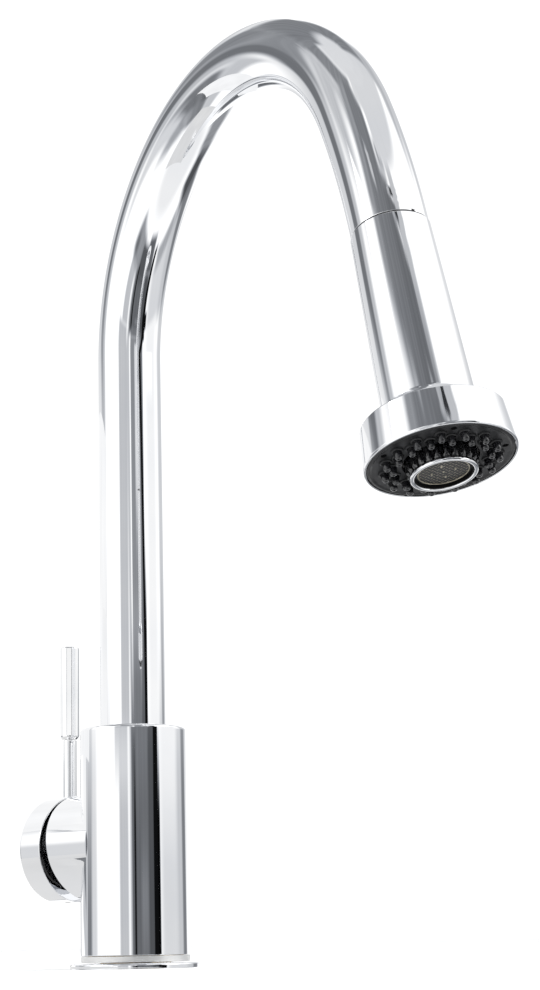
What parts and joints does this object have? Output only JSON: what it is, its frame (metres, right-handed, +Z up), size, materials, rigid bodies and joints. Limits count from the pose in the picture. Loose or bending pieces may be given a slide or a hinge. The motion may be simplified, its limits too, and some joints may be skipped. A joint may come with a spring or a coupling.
{
  "type": "kitchen faucet",
  "caption": "Single-lever kitchen faucet with a high swivelling gooseneck spout and a pull-down spray wand with a nozzle ring and a central aerator.",
  "frame": {"origin": "centre of the base on the deck plane, z = 0; the shank, washers and nut are below it", "axes": "+Z up; the spout reaches along -Y; the handle hub points away from the spout, 16.9 degrees from +Y towards -X"},
  "size_m": [0.0687, 0.3322, 0.473],
  "materials": {
    "chrome": "mirror-polished chrome plate",
    "brass": "machined brass",
    "steel": "plain stainless steel",
    "steel_mesh": "woven stainless mesh",
    "hose_braid": "braided stainless sleeve",
    "rubber": "soft black silicone rubber",
    "black_plastic": "black moulded plastic",
    "grey_plastic": "dark grey moulded plastic",
    "white_plastic": "white acetal"
  },
  "bodies": {
    "base": {"base_flange": "chrome", "base_gasket": "rubber", "body_shell": "chrome", "waterway_block": "brass", "swivel_bearing": "white_plastic", "cartridge_body": "white_plastic", "bonnet_nut": "brass", "bonnet_cover": "black_plastic", "threaded_shank": "brass", "rubber_washer": "rubber", "clamp_washer": "steel", "mounting_nut": "brass", "hot_inlet": "brass", "cold_inlet": "brass"},
    "spout": {"spout_tube": "chrome", "spout_foot": "brass", "friction_ring": "rubber", "spout_clip": "steel", "dock_bush": "black_plastic", "hose": "hose_braid", "hose_tail": "brass"},
    "wand": {"wand_shell": "chrome", "bell_ring": "chrome", "face_plate": "grey_plastic", "nozzle_mat": "rubber", "spray_manifold": "white_plastic", "waterway_tube": "white_plastic", "check_valve": "white_plastic", "hose_nut": "brass"},
    "selector": {"aerator_cage": "black_plastic", "aerator_core": "grey_plastic", "aerator_screen": "steel_mesh", "aerator_ring": "chrome"},
    "turret": {"cartridge_stem": "steel", "pivot_pin": "steel"},
    "handle": {"handle_cap": "chrome", "lever_arm": "steel", "lever_rod": "chrome", "lever_grip": "chrome", "handle_set_screw": "steel"}
  },
  "joints": [
    {"name": "spout_swivel", "type": "hinge", "parent": "base", "child": "spout", "pos_m": [0, 0, 0.1], "axis": [0, 0, 1], "range_deg": [-180, 180]},
    {"name": "spray_pull", "type": "slide", "parent": "spout", "child": "wand", "axis": [0, -0.2402, -0.9707], "range_m": [0, 0.16], "stiffness_N_per_m": 12, "springref_m": -0.9},
    {"name": "spray_select", "type": "hinge", "parent": "wand", "child": "selector", "pos_m": [0, -0.22334, 0.27482], "axis": [0, -0.2402, -0.9707], "range_deg": [0, 90]},
    {"name": "handle_turn", "type": "hinge", "parent": "base", "child": "turret", "pos_m": [-0.01116, 0.03674, 0.0556], "axis": [-0.2871, 0.945, -0.1564], "range_deg": [-45, 45]},
    {"name": "handle_tilt", "type": "hinge", "parent": "turret", "child": "handle", "pos_m": [-0.01116, 0.03674, 0.0556], "axis": [-0.9568, -0.2907, 0], "range_deg": [0, 18]}
  ]
}
